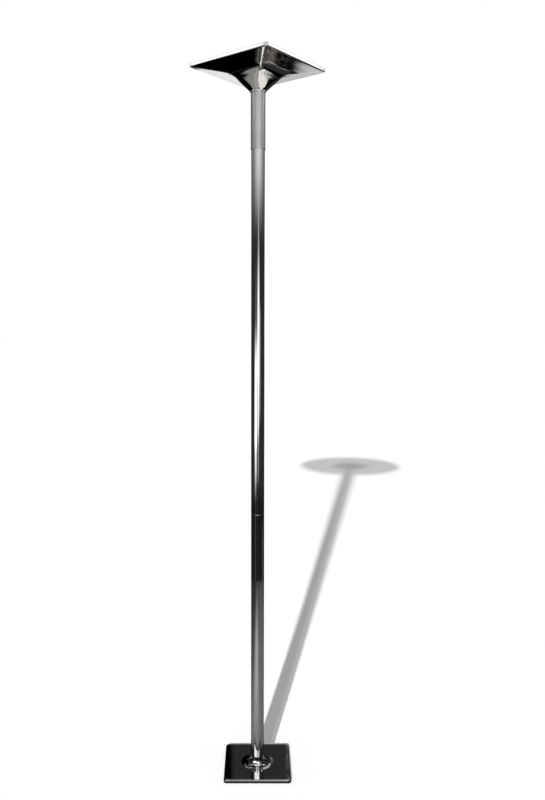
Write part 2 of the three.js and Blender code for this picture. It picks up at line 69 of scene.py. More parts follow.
# Camera, as the photograph was framed
PHOTO_WIDTH = 545
PHOTO_HEIGHT = 800
FOCAL_PIXELS = 770.2
AXIS_PIXEL = 257.87
SENSOR_MM = 36
CAMERA_DISTANCE = 2.593
CAMERA_HEIGHT = 1.546
CAMERA_PITCH = math.radians(-5.47)
CAMERA_ROLL = math.radians(-0.063)

# Sizes that the construction has too
HEAD_TURN = math.radians(-38.5)
POLE_WALL = 1.5 * MM
TUBE_CHAMFER = 0.6 * MM
COVER_WALL = 1.5 * MM
BASE_CORNER = 11 * MM
BASE_ROLL = 5 * MM
TRUMPET_FOOT = 57 * MM
TRUMPET_RISE = 28 * MM
MOUTH_GAP = 0.6 * MM
CEILING_SIDE = 317 * MM
PLATING_ROOM = 0.05 * MM
CEILING_CORNER = 8 * MM
CEILING_BAND = 10 * MM
CEILING_INSET = 0.5 * MM
NECK_COLLAR = 3.5 * MM
GRUB_RADIUS = 3 * MM
FIT_GAP = 0.3 * MM
RUNNING_GAP = 0.3 * MM
HUB_SCREW = 2.5 * MM
HUB_SCREW_HEAD = 5 * MM
COVER_SCREW = 2 * MM
COVER_SCREW_HEAD = 4 * MM
KEEPER_SHANK = 4 * MM
HUB_POST = 9 * MM
FOOT_WELL = 15 * MM
RACE_BORE = 9.6 * MM
COUPLER_WALL = 4 * MM
SPINDLE_RADIUS = 10 * MM
SPINDLE_END = 8.5 * MM
LOCK_NUT_FLATS = 30 * MM

# Details that only the looks have
EDGE = 0.3 * MM
GRUB_SOCKET = 1.5 * MM
GRUB_SOCKET_DEPTH = 2.4 * MM
GRUB_EDGE = 0.5 * MM
HUB_SCREW_SOCKET = 1.75 * MM
COVER_SCREW_SOCKET = 1.4 * MM
KEEPER_SOCKET = 3.4 * MM
HEAD_EDGE = 0.2 * MM
CAP_EDGE = 0.4 * MM
SCREW_PITCH = 0.9 * MM
SCREW_THREAD_DEPTH = 0.35 * MM
THREAD_PITCH = 4 * MM
THREAD_DEPTH = 1.6 * MM
NUT_BEVEL = 1.2 * MM
TUBE_SOFT = 0.25 * MM
RIM_FOLD = 1.2 * MM
PAD_SOFT = 0.6 * MM
PAD_LAND = 7 * MM
PAD_DITCH = 2 * MM
PAD_GROOVE = 0.9 * MM

# Fineness of the meshes
ROUND_SIDES = 128
SMALL_SIDES = 48
QUARTER_STEPS = 44
SOFT_STEPS = 4
LINE_STEPS = 8
GROOVE_STEPS = 6
BALL_RINGS = 24
THREAD_STEPS = 8
SHARP_ANGLE = math.radians(38)
WELD = 0.001 * MM

# Outlines, as shares of the sizes that they follow
# Ceiling cover: out from the neck, down from the rim, corner radius to half width
COVER_OUTLINE_SHARES = [
    (0.674, 0.094, 0.06),
    (0.435, 0.173, 0.09),
    (0.327, 0.237, 0.2),
    (0.27, 0.338, 0.38),
    (0.209, 0.54, 0.64),
    (0.134, 0.741, 0.88),
    (0.064, 0.89, 1),
    (0.021, 0.965, 1),
]
# Trumpet: out from the mouth, up from the flat top
TRUMPET_OUTLINE_SHARES = [(0.62, 0.05), (0.37, 0.2), (0.2, 0.43), (0.09, 0.68), (0.03, 0.88)]
# Base cover's flat top: in from the roll
FLAT_TOP_SHARES = [0.02, 0.3, 0.6, 0.85]


def level(node):
    """The lowest and highest level of a CAD node."""
    low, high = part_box(node)
    return low.z, high.z


def radius_of(node):
    low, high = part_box(node)
    return (high.x - low.x) / 2


def middle_of(node):
    low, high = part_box(node)
    return (low + high) / 2


def numbered(name, count):
    return [f"{name}_{at}" for at in range(1, count + 1)]


COUPLER_SCREWS = numbered("coupler_screw", 4)
NUT_SCREWS = numbered("jack_nut_screw", 2)
SLEEVE_SCREWS = numbered("sleeve_screw", 3)


# Rings: points round the axis at one level, from which skins are made


def spoke_end(reach, angle, height):
    return Vector((reach * math.cos(angle), reach * math.sin(angle), height))


def circle_ring(radius, height, sides=ROUND_SIDES):
    return [spoke_end(radius, at * 2 * math.pi / sides, height) for at in range(sides)]


def small_rings(outline):
    """Rings of a small piece through an outline of (radius, height)."""
    return [circle_ring(radius, height, SMALL_SIDES) for radius, height in outline]


def hexagon_ring(radius, height):
    """A hexagon round the circle of that radius, cut into as many steps as a small circle is."""
    wedge = math.pi / 3
    points = []
    for at in range(SMALL_SIDES):
        angle = at * 2 * math.pi / SMALL_SIDES
        off_middle = (angle % wedge) - wedge / 2
        points.append(spoke_end(radius / math.cos(off_middle), angle, height))
    return points


def square_ring(half, corner, height, turn):
    """A square with round corners, which is a circle where the corner is as large as the half side."""
    corner = min(corner, half)
    straight = half - corner
    side_share = 0.5 * straight / half
    spin = Matrix.Rotation(turn, 3, "Z")
    points = []
    for quarter in range(4):
        facing = Matrix.Rotation(quarter * math.pi / 2, 3, "Z")
        for step in range(QUARTER_STEPS):
            along = step / QUARTER_STEPS
            if along < side_share / 2:
                point = Vector((half, straight * along / (side_share / 2), height))
            elif along > 1 - side_share / 2:
                point = Vector((straight * (1 - along) / (side_share / 2), half, height))
            else:
                angle = (along - side_share / 2) / (1 - side_share) * math.pi / 2
                across = straight + corner * math.cos(angle)
                point = Vector((across, straight + corner * math.sin(angle), height))
            points.append(spin @ (facing @ point))
    return points


# Lines: outlines that the rings follow


def softened(outline):
    """A closed outline of (radius, height, softness) with its corners rounded by their softness."""
    points = []
    for at, (radius, height, soft) in enumerate(outline):
        here = Vector((radius, height))
        if not soft:
            points.append(here)
            continue
        back = (Vector(outline[at - 1][:2]) - here).normalized()
        ahead = (Vector(outline[(at + 1) % len(outline)][:2]) - here).normalized()
        half_angle = back.angle(ahead) / 2
        centre = here + (back + ahead).normalized() * soft / math.sin(half_angle)
        start = here + back * soft / math.tan(half_angle) - centre
        end = here + ahead * soft / math.tan(half_angle) - centre
        spokes = [start.slerp(end, step / SOFT_STEPS).normalized() for step in range(SOFT_STEPS + 1)]
        points += [centre + spoke * soft for spoke in spokes]
    return points


def smooth_line(points):
    """A smooth line through the points, which never swings out past them by much."""
    points = [Vector(point) for point in points]
    padded = [2 * points[0] - points[1], *points, 2 * points[-1] - points[-2]]
    line = []
    for at in range(1, len(padded) - 2):
        a, b, c, d = padded[at - 1 : at + 3]
        t_b = math.sqrt((b - a).length)
        t_c = t_b + math.sqrt((c - b).length)
        t_d = t_c + math.sqrt((d - c).length)
        for step in range(LINE_STEPS):
            t = t_b + (t_c - t_b) * step / LINE_STEPS
            ab = a.lerp(b, t / t_b)
            bc = b.lerp(c, (t - t_b) / (t_c - t_b))
            cd = c.lerp(d, (t - t_c) / (t_d - t_c))
            abc = ab.lerp(bc, t / t_c)
            bcd = bc.lerp(cd, (t - t_b) / (t_d - t_b))
            line.append(abc.lerp(bcd, (t - t_b) / (t_c - t_b)))
    line.append(points[-1])
    return line


# Pieces


def added(name, data):
    """A new object in the scene."""
    made = bpy.data.objects.new(name, data)
    bpy.context.scene.collection.objects.link(made)
    return made


def skin(name, rings, material, closed=True, place=None):
    """A closed surface through a stack of rings, run back to its first ring or capped at its ends."""
    build = bmesh.new()
    levels = [[build.verts.new(point) for point in ring] for ring in rings]
    pairs = list(zip(levels, levels[1:]))
    if closed:
        pairs.append((levels[-1], levels[0]))
    else:
        build.faces.new(levels[0])
        build.faces.new(levels[-1])
    for low, high in pairs:
        for at in range(len(low)):
            build.faces.new((low[at - 1], low[at], high[at], high[at - 1]))
    bmesh.ops.remove_doubles(build, verts=build.verts, dist=WELD)
    bmesh.ops.dissolve_degenerate(build, dist=WELD / 10, edges=build.edges)
    bmesh.ops.recalc_face_normals(build, faces=build.faces)
    mesh = bpy.data.meshes.new(name)
    build.to_mesh(mesh)
    build.free()
    if place is not None:
        mesh.transform(place)
    mesh.materials.append(material)
    return added(name, mesh)


def turned(name, outline, material, closed=True):
    """A turned piece from an outline of (radius, height, softness)."""
    rings = [circle_ring(point.x, point.y) for point in softened(outline)]
    return skin(name, rings, material, closed)


def drilled(piece, holes):
    """Cuts round holes, each a (radius, start, end), through the piece."""
    for radius, start, end in holes:
        direction = end - start
        place = Matrix.Translation(start) @ direction.to_track_quat("Z", "Y").to_matrix().to_4x4()
        rings = small_rings([(radius, 0), (radius, direction.length)])
        drill = skin(f"{piece.name}_drill", rings, piece.data.materials[0], closed=False, place=place)
        bore = piece.modifiers.new("bore", "BOOLEAN")
        bore.operation = "DIFFERENCE"
        bore.solver = "EXACT"
        bore.object = drill
        bpy.context.view_layer.update()
        evaluated = piece.evaluated_get(bpy.context.evaluated_depsgraph_get())
        piece.data = bpy.data.meshes.new_from_object(evaluated)
        piece.modifiers.clear()
        bpy.data.objects.remove(drill)
    return piece


def dressed(piece, body, slot, *replaced):
    """Gives a finished piece its shading and its body, and hides the nodes that it stands for. The slot is
    not used.
    """
    piece.data.shade_smooth()
    piece.data.set_sharp_from_angle(angle=SHARP_ANGLE)
    even = piece.modifiers.new("even_shading", "WEIGHTED_NORMAL")
    even.keep_sharp = True
    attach(piece, body)
    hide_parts(*replaced)
    return piece


# Materials: node helpers

# Between these values lies nearly all of a noise's range
SPREAD = (0.3, 0.7)


def finish(name, colour, metallic, roughness):
    """A new material with a Principled shader: its name, its node tree and the shader."""
    material = bpy.data.materials.new(name)
    material.use_nodes = True
    tree = material.node_tree
    shader = tree.nodes["Principled BSDF"]
    shader.inputs["Base Color"].default_value = (*colour, 1)
    shader.inputs["Metallic"].default_value = metallic
    shader.inputs["Roughness"].default_value = roughness
    return material, tree, shader


def grain(tree, size, stretch=(1, 1, 1), detail=4.0):
    """Noise with grains of that size in metres, drawn out along X, Y and Z by the stretch."""
    coordinates = tree.nodes.new("ShaderNodeTexCoord")
    mapping = tree.nodes.new("ShaderNodeMapping")
    mapping.inputs["Scale"].default_value = [1 / (size * share) for share in stretch]
    texture = tree.nodes.new("ShaderNodeTexNoise")
    texture.inputs["Scale"].default_value = 1
    texture.inputs["Detail"].default_value = detail
    tree.links.new(coordinates.outputs["Object"], mapping.inputs["Vector"])
    tree.links.new(mapping.outputs["Vector"], texture.inputs["Vector"])
    return texture.outputs["Fac"]


def pebbles(tree, size):
    """The distance to the middle of the nearest pebble."""
    coordinates = tree.nodes.new("ShaderNodeTexCoord")
    texture = tree.nodes.new("ShaderNodeTexVoronoi")
    texture.inputs["Scale"].default_value = 1 / size
    tree.links.new(coordinates.outputs["Object"], texture.inputs["Vector"])
    return texture.outputs["Distance"]


def ranged(tree, value, low, high, start=SPREAD[0], end=SPREAD[1]):
    """The value spread from start and end to low and high."""
    node = tree.nodes.new("ShaderNodeMapRange")
    for name, number in (("From Min", start), ("From Max", end), ("To Min", low), ("To Max", high)):
        node.inputs[name].default_value = number
    tree.links.new(value, node.inputs["Value"])
    return node.outputs["Result"]


def combined(tree, operation, first, second):
    node = tree.nodes.new("ShaderNodeMath")
    node.operation = operation
    tree.links.new(first, node.inputs[0])
    tree.links.new(second, node.inputs[1])
    return node.outputs["Value"]


def shaded(tree, value, dark, light):
    """A colour between dark and light."""
    ramp = tree.nodes.new("ShaderNodeValToRGB")
    for stop, position, colour in zip(ramp.color_ramp.elements, SPREAD, (dark, light)):
        stop.position = position
        stop.color = (*colour, 1)
    tree.links.new(value, ramp.inputs["Fac"])
    return ramp.outputs["Color"]


def varied(tree, shader, colour, roughness):
    """Gives the shader a colour and a roughness that change over the surface."""
    tree.links.new(colour, shader.inputs["Base Color"])
    tree.links.new(roughness, shader.inputs["Roughness"])


def roughened(tree, shader, height, depth):
    """Adds a relief of that depth in metres to whatever relief the shader has."""
    bump = tree.nodes.new("ShaderNodeBump")
    bump.inputs["Distance"].default_value = depth
    tree.links.new(height, bump.inputs["Height"])
    socket = shader.inputs["Normal"]
    if socket.is_linked:
        tree.links.new(socket.links[0].from_socket, bump.inputs["Normal"])
    tree.links.new(bump.outputs["Normal"], socket)


# Materials, with how wide their grains are and how deep their relief is

SMEAR_SIZE = 45 * MM
LINE_SIZE = 0.5 * MM
LINE_DEPTH = 0.001 * MM
RIPPLE_SIZE = 38 * MM
RIPPLE_DEPTH = 0.02 * MM
STROKE_SIZE = 0.8 * MM
STROKE_DEPTH = 0.002 * MM
CLOUD_SIZE = 30 * MM
RING_SIZE = 0.6 * MM
RING_DEPTH = 0.004 * MM
TARNISH_SIZE = 9 * MM
OXIDE_SIZE = 1.2 * MM
OXIDE_GRAIN = 0.25 * MM
OXIDE_DEPTH = 0.004 * MM
DUST_SIZE = 35 * MM
PEBBLE_SIZE = 1.3 * MM
PEBBLE_DEPTH = 0.12 * MM
RUBBER_GRAIN = 0.3 * MM
RUBBER_DEPTH = 0.02 * MM


def chrome(name, sharp, dull, along=1.0, ripple=0.0):
    """Chrome plate between two roughnesses, with polishing lines along Z and, on sheet, a faint ripple."""
    material, tree, shader = finish(name, (0.625, 0.63, 0.638), 1, sharp)
    smears = grain(tree, SMEAR_SIZE, (1, 1, 2 * along))
    lines = grain(tree, LINE_SIZE, (1, 1, 60 * along), detail=2)
    colour = shaded(tree, smears, (0.595, 0.6, 0.608), (0.655, 0.66, 0.666))
    scuffed = ranged(tree, lines, 0, dull / 3, 0.55, 0.8)
    varied(tree, shader, colour, combined(tree, "ADD", ranged(tree, smears, sharp, dull), scuffed))
    roughened(tree, shader, lines, LINE_DEPTH)
    if ripple:
        roughened(tree, shader, grain(tree, RIPPLE_SIZE, detail=1), ripple)
    return material


def satin():
    """Satin steel, brushed along the tube."""
    material, tree, shader = finish("satin_steel", (0.56, 0.56, 0.555), 1, 0.3)
    strokes = grain(tree, STROKE_SIZE, (1, 1, 70), detail=3)
    clouds = grain(tree, CLOUD_SIZE, (1, 1, 2))
    colour = shaded(tree, strokes, (0.53, 0.53, 0.525), (0.59, 0.59, 0.585))
    clouded = ranged(tree, clouds, 0, 0.06)
    varied(tree, shader, colour, combined(tree, "ADD", ranged(tree, strokes, 0.26, 0.34), clouded))
    roughened(tree, shader, strokes, STROKE_DEPTH)
    return material


def turned_metal(name, dark, light, roughness, depth_share):
    """Turned or ground metal: rings round the axis, and a blotchy tarnish."""
    material, tree, shader = finish(name, light, 1, roughness)
    rings = grain(tree, RING_SIZE, (80, 80, 1), detail=2)
    colour = shaded(tree, grain(tree, TARNISH_SIZE), dark, light)
    varied(tree, shader, colour, ranged(tree, rings, roughness * 0.8, roughness * 1.3))
    roughened(tree, shader, rings, RING_DEPTH * depth_share)
    return material


def black_oxide():
    material, tree, shader = finish("black_oxide", (0.02, 0.02, 0.022), 0.6, 0.4)
    clouds = grain(tree, OXIDE_SIZE)
    colour = shaded(tree, clouds, (0.012, 0.012, 0.014), (0.035, 0.034, 0.034))
    varied(tree, shader, colour, ranged(tree, clouds, 0.32, 0.5))
    roughened(tree, shader, grain(tree, OXIDE_GRAIN), OXIDE_DEPTH)
    return material


def pebbled_rubber():
    material, tree, shader = finish("pebbled_rubber", (0.03, 0.03, 0.031), 0, 0.75)
    bumps = pebbles(tree, PEBBLE_SIZE)
    colour = shaded(tree, grain(tree, DUST_SIZE), (0.022, 0.022, 0.023), (0.05, 0.049, 0.047))
    varied(tree, shader, colour, ranged(tree, bumps, 0.6, 0.85, 0, 0.7))
    roughened(tree, shader, ranged(tree, bumps, 1, 0, 0, 0.7), PEBBLE_DEPTH)
    roughened(tree, shader, grain(tree, RUBBER_GRAIN), RUBBER_DEPTH)
    return material


POLISHED = chrome("chrome_tube", 0.03, 0.085)
POLISHED_SHEET = chrome("chrome_sheet", 0.015, 0.05, along=0.05, ripple=RIPPLE_DEPTH)
SATIN = satin()
ZINC = turned_metal("zinc_steel", (0.42, 0.43, 0.45), (0.58, 0.59, 0.61), 0.32, 1)
GROUND = turned_metal("ground_steel", (0.55, 0.56, 0.57), (0.62, 0.63, 0.64), 0.12, 0.25)
BRONZE = turned_metal("turned_bronze", (0.36, 0.2, 0.08), (0.5, 0.31, 0.13), 0.3, 1.25)
BRASS = turned_metal("stamped_brass", (0.5, 0.36, 0.13), (0.64, 0.48, 0.2), 0.26, 0.75)
BLACK = black_oxide()
RUBBER = pebbled_rubber()

FINISHES = {
    "chrome": POLISHED,
    "satin_steel": SATIN,
    "steel": ZINC,
    "bearing_steel": GROUND,
    "bronze": BRONZE,
    "brass": BRASS,
    "black_steel": BLACK,
    "rubber": RUBBER,
}
SLOTS = {part["node"]: part["material_slot"] for part in frame["record"]["subparts"]}


def finish_nodes():
    """Each node that stays gets the finish that its slot names."""
    for name, slot in SLOTS.items():
        node = frame["nodes"][name]
        node.data.materials.clear()
        node.data.materials.append(FINISHES[slot])


# Tubes


def open_tube(name, material, node, wall):
    """A tube as high and wide as its node, with chamfered outer edges."""
    bottom, top = level(node)
    outer = radius_of(node)
    inner = outer - wall
    end = outer - TUBE_CHAMFER
    outline = [(inner, bottom), (end, bottom), (outer, bottom + TUBE_CHAMFER)]
    outline += [(outer, top - TUBE_CHAMFER), (end, top), (inner, top)]
    return turned(name, [(*point, TUBE_SOFT) for point in outline], material)


def lie_of(node):
    """A grub screw's middle, the way outward along it, and its length."""
    low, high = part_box(node)
    middle = middle_of(node)
    outward = Vector((middle.x, middle.y, 0)).normalized()
    return middle, outward, max(high.x - low.x, high.y - low.y)


def screw_holes(nodes, outer):
    """A hole for each grub screw, from inside its inner end to outside the tube."""
    holes = []
    for node in nodes:
        middle, outward, length = lie_of(node)
        end = Vector((0, 0, middle.z)) + outward * (outer + length)
        holes.append((GRUB_RADIUS + FIT_GAP, middle - outward * length, end))
    return holes


def tubes():
    pole = radius_of("lower_tube")
    lower = open_tube("pole_lower", POLISHED, "lower_tube", POLE_WALL)
    dressed(drilled(lower, screw_holes(COUPLER_SCREWS[:2], pole)), "pole", "chrome", "lower_tube")
    upper = open_tube("pole_upper", POLISHED, "upper_tube", POLE_WALL)
    holes = screw_holes(COUPLER_SCREWS[2:] + NUT_SCREWS, pole)
    dressed(drilled(upper, holes), "pole", "chrome", "upper_tube")
    sleeve_wall = radius_of("ceiling_sleeve") - pole - RUNNING_GAP
    sleeve = open_tube("sleeve_tube", SATIN, "ceiling_sleeve", sleeve_wall)
    holes = screw_holes(SLEEVE_SCREWS, radius_of("ceiling_sleeve"))
    dressed(drilled(sleeve, holes), "head", "satin_steel", "ceiling_sleeve")


# Covers


def lip(line_end, other_end):
    """The half round of a sheet's edge between its faces' ends, each a (half, corner, height)."""
    start = Vector(line_end)
    end = Vector(other_end)
    middle = (start + end) / 2
    across = (end - start) / 2
    out = Vector((-across.z, -across.z, across.x)).normalized() * across.length
    turns = [math.pi * (at + 1) / (SOFT_STEPS + 2) for at in range(SOFT_STEPS + 1)]
    return [middle - across * math.cos(turn) + out * math.sin(turn) for turn in turns]


def cover(name, form, turn, body, node):
    """A chromed sheet between the outer and the inner form, with round edges."""
    outer = form(0)
    inner = form(COVER_WALL)[::-1]
    line = outer + lip(outer[-1], inner[0]) + inner + lip(inner[-1], outer[0])
    rings = [square_ring(*point, turn) for point in line]
    dressed(skin(name, rings, POLISHED_SHEET), body, "chrome", node)


def base_cover_line(inset):
    """The cover's outer or inner form as (half, corner, height), from the skirt's edge to the mouth."""
    low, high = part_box("base_cover")
    half = (high.x - low.x) / 2 - inset
    corner = BASE_CORNER - inset
    roll = BASE_ROLL - inset
    top = high.z - TRUMPET_RISE - inset
    mouth = radius_of("lower_tube") + MOUTH_GAP + COVER_WALL - inset
    edge = low.z + COVER_WALL / 2
    line = [(half, corner, edge), (half, corner, top - roll - WELD)]
    for at in range(2 * SOFT_STEPS + 1):
        angle = at / (2 * SOFT_STEPS) * math.pi / 2
        line.append((half - roll * (1 - math.cos(angle)), corner, top - roll * (1 - math.sin(angle))))
    flat = half - roll
    for share in FLAT_TOP_SHARES:
        line.append((flat + share * (TRUMPET_FOOT - flat), corner + share * (TRUMPET_FOOT - corner), top))
    foot = [(TRUMPET_FOOT, 0, top)]
    for out_share, up_share in TRUMPET_OUTLINE_SHARES:
        foot.append((mouth + out_share * (TRUMPET_FOOT - mouth), 0, top + up_share * TRUMPET_RISE))
    foot.append((mouth, 0, high.z - COVER_WALL / 2))
    line += [(point.x, point.x, point.z) for point in smooth_line(foot)]
    return line


def base_cover():
    cover("base_shell", base_cover_line, 0, "base", "base_cover")


def ceiling_cover_line(inset):
    """The cover's outer or inner form as (half, corner, height), from the rim's edge to the neck's."""
    low, high = level("ceiling_cover")
    half = CEILING_SIDE / 2 - PLATING_ROOM - inset
    corner = CEILING_CORNER - inset
    neck = radius_of("ceiling_sleeve") + FIT_GAP + COVER_WALL - inset
    rim = high - CEILING_BAND + inset
    collar = low + NECK_COLLAR + inset
    body = [(half - RIM_FOLD, corner, rim - RIM_FOLD / 3)]
    for out_share, down_share, round_share in COVER_OUTLINE_SHARES:
        reach = neck + out_share * (half - neck)
        body.append((reach, round_share * reach, rim - down_share * (rim - collar)))
    body.append((neck, neck, collar))
    return [
        (half, corner, high - COVER_WALL / 2),
        (half, corner, rim + RIM_FOLD * 2),
        (half, corner, rim + RIM_FOLD),
        (half - RIM_FOLD / 4, corner, rim + RIM_FOLD / 4),
        *[tuple(point) for point in smooth_line(body)],
        (neck, neck, low + COVER_WALL / 2),
    ]


def ceiling_cover():
    cover("ceiling_shell", ceiling_cover_line, HEAD_TURN, "head", "ceiling_cover")


# Pads


def pad(name, node, body, half, corner, turn, face_up):
    """A rubber sheet with soft edges and a field of moulded square grooves in the face that grips."""
    bottom, top = level(node)
    face, back = (top, bottom) if face_up else (bottom, top)
    down = -1 if face_up else 1
    edge = half - PAD_SOFT
    line = [(WELD, 0, back), (edge, corner, back), (half, corner, back - down * PAD_SOFT)]
    line += [(half, corner, face + down * PAD_SOFT), (edge, corner, face)]
    reach = half - PAD_LAND
    while reach > PAD_LAND + PAD_DITCH:
        line += [
            (reach, corner, face),
            (reach - PAD_SOFT / 2, corner, face + down * PAD_GROOVE),
            (reach - PAD_DITCH + PAD_SOFT / 2, corner, face + down * PAD_GROOVE),
            (reach - PAD_DITCH, corner, face),
        ]
        reach -= PAD_LAND + PAD_DITCH
    line.append((WELD, 0, face))
    rings = [square_ring(*point, turn) for point in line]
    dressed(skin(name, rings, RUBBER), body, "rubber", node)


def pads():
    low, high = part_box("base_pad")
    pad("base_pad_sheet", "base_pad", "base", (high.x - low.x) / 2, BASE_CORNER, 0, False)
    half = CEILING_SIDE / 2 - COVER_WALL - CEILING_INSET
    corner = CEILING_CORNER - COVER_WALL
    pad("ceiling_pad_sheet", "ceiling_pad", "head", half, corner, HEAD_TURN, True)


# Screws


def screw(name, node, body, outline, socket, depth, place):
    """A screw with a hexagon socket in its end at height zero, pointing down from there."""
    hollow = [(WELD, -depth - socket / 2), (socket, -depth), (socket, 0)]
    rings = [hexagon_ring(radius, height) for radius, height in hollow]
    rings += small_rings([*outline, (WELD, outline[-1][1])])
    piece = skin(name, rings, BLACK, closed=False, place=place)
    dressed(piece, body, "black_steel", node)


def grub_screw(node, body):
    """A grub screw that lies along a spoke, its socket outward."""
    middle, outward, length = lie_of(node)
    turn = outward.to_track_quat("Z", "Y").to_matrix().to_4x4()
    place = Matrix.Translation(middle + outward * length / 2) @ turn
    end = GRUB_RADIUS - GRUB_EDGE
    outline = [(end, 0), (GRUB_RADIUS, -GRUB_EDGE), (GRUB_RADIUS, GRUB_EDGE - length), (end, -length)]
    screw(f"{node}_socket", node, body, outline, GRUB_SOCKET, GRUB_SOCKET_DEPTH, place)


def grub_screws():
    for node in COUPLER_SCREWS + NUT_SCREWS:
        grub_screw(node, "pole")
    for node in SLEEVE_SCREWS:
        grub_screw(node, "head")


def cut_thread(radius, top, end):
    """The outline of a small screw's shank, from its top down to its end, with grooves for its thread."""
    root = radius - SCREW_THREAD_DEPTH
    outline = [(radius, top)]
    while outline[-1][1] - 2 * SCREW_PITCH > end:
        height = outline[-1][1]
        outline += [(root, height - SCREW_PITCH / 2), (radius, height - SCREW_PITCH)]
    return outline + [(radius, end + SCREW_THREAD_DEPTH), (root, end)]


def countersunk_screw(node, body, head, shank, socket, faces_up):
    """A countersunk screw whose head lies at the node's top or at its bottom."""
    bottom, top = level(node)
    thread = cut_thread(shank, shank - head - HEAD_EDGE, bottom - top)
    outline = [(head - HEAD_EDGE, 0), (head, -HEAD_EDGE), *thread]
    face = Matrix.Translation((*middle_of(node)[:2], top if faces_up else bottom))
    place = face if faces_up else face @ Matrix.Rotation(math.pi, 4, "X")
    screw(f"{node}_socket", node, body, outline, socket, socket, place)


def countersunk_screws():
    for name, body, head, shank, socket, faces_up in (
        ("hub_screw", "base", HUB_SCREW_HEAD, HUB_SCREW, HUB_SCREW_SOCKET, False),
        ("base_cover_screw", "base", COVER_SCREW_HEAD, COVER_SCREW, COVER_SCREW_SOCKET, False),
        ("ceiling_hub_screw", "head", HUB_SCREW_HEAD, HUB_SCREW, HUB_SCREW_SOCKET, True),
        ("ceiling_cover_screw", "head", COVER_SCREW_HEAD, COVER_SCREW, COVER_SCREW_SOCKET, True),
    ):
        for node in numbered(name, 4):
            countersunk_screw(node, body, head, shank, socket, faces_up)


def keeper_screw():
    """The cap screw that holds the washer down on the base's post."""
    bottom, top = level("keeper_screw")
    head = radius_of("keeper_screw")
    under = level("keeper_washer")[1] - top
    outline = [(head - CAP_EDGE, 0), (head, -CAP_EDGE), (head, under)]
    outline += cut_thread(KEEPER_SHANK, under, bottom - top)
    place = Matrix.Translation((0, 0, top))
    screw("keeper_cap_screw", "keeper_screw", "base", outline, KEEPER_SOCKET, KEEPER_SOCKET, place)


# Pieces inside: bearing, hubs, pole foot, coupler and jack


def put_in(piece, body, node):
    """Dresses a piece that stands for one node."""
    return dressed(piece, body, SLOTS[node], node)


def lathed(node, body, outline, holes=(), closed=True):
    """A turned piece with round holes, in place of a node."""
    piece = turned(f"{node}_turned", outline, FINISHES[SLOTS[node]], closed=closed)
    return put_in(drilled(piece, holes), body, node)


def edged(outline):
    """The outline of (radius, height) with softened corners."""
    return [(*point, EDGE) for point in outline]


def ring_outline(inner, outer, bottom, top):
    return edged([(inner, bottom), (outer, bottom), (outer, top), (inner, top)])


def upright_holes(nodes, radius, bottom, top):
    """An upright hole at each node, a gap longer at both ends."""
    ends = (bottom - FIT_GAP, top + FIT_GAP)
    return [(radius, *(Vector((*middle_of(node)[:2], height)) for height in ends)) for node in nodes]


def cross_hole(node, reach):
    """The hole of a pin that lies across the jack's axis."""
    bottom, top = level(node)
    middle = Vector((0, 0, middle_of(node).z))
    spoke = spoke_end(2 * reach, HEAD_TURN, 0)
    return (top - bottom) / 2 + FIT_GAP, middle - spoke, middle + spoke


def race(node, body, faces_up):
    """A bearing race with a round groove for the balls in its face."""
    bottom, top = level(node)
    face, back = (top, bottom) if faces_up else (bottom, top)
    balls = middle_of("bearing_ball_1")
    reach = (level("bearing_ball_1")[1] - level("bearing_ball_1")[0]) / 2 + RUNNING_GAP
    side = 1 if faces_up else -1
    spread = math.acos(abs(face - balls.z) / reach)
    outline = [(RACE_BORE, back, EDGE), (RACE_BORE, face, EDGE)]
    for step in range(-GROOVE_STEPS, GROOVE_STEPS + 1):
        angle = spread * step / GROOVE_STEPS
        outline.append((balls.x + reach * math.sin(angle), balls.z - side * reach * math.cos(angle), 0))
    outer = radius_of(node)
    lathed(node, body, outline + [(outer, face, EDGE), (outer, back, EDGE)])


def ball(node):
    bottom, top = level(node)
    radius = (top - bottom) / 2
    turns = [math.pi * at / BALL_RINGS for at in range(BALL_RINGS + 1)]
    rings = small_rings([(max(radius * math.sin(turn), WELD), -radius * math.cos(turn)) for turn in turns])
    place = Matrix.Translation(middle_of(node))
    put_in(skin(f"{node}_round", rings, GROUND, closed=False, place=place), "ball_cage", node)


def ball_bearing():
    balls = numbered("bearing_ball", 8)
    race("bearing_lower_race", "base", True)
    race("bearing_upper_race", "pole", False)
    bottom, top = level("bearing_cage")
    outer = radius_of("bearing_cage")
    inner = RACE_BORE + radius_of("bearing_lower_race") - outer
    holes = upright_holes(balls, level(balls[0])[1] - middle_of(balls[0]).z + RUNNING_GAP, bottom, top)
    lathed("bearing_cage", "ball_cage", ring_outline(inner, outer, bottom, top), holes)
    for node in balls:
        ball(node)


def base_hub():
    bottom, top = level("base_hub")
    flange = level("bearing_lower_race")[0]
    bore = KEEPER_SHANK + FIT_GAP
    bore_end = level("keeper_screw")[0] - FIT_GAP
    wide = radius_of("base_hub")
    outline = [(WELD, bottom, 0), (wide, bottom, EDGE), (wide, flange, EDGE), (HUB_POST, flange, EDGE)]
    outline += [(HUB_POST, top, EDGE), (bore, top, EDGE), (bore, bore_end, 0), (WELD, bore_end, 0)]
    screws = numbered("hub_screw", 4)
    holes = upright_holes(screws, HUB_SCREW + FIT_GAP, bottom, level(screws[0])[1])
    lathed("base_hub", "base", outline, holes, closed=False)
    bottom, top = level("keeper_washer")
    lathed("keeper_washer", "base", ring_outline(bore, radius_of("keeper_washer"), bottom, top))


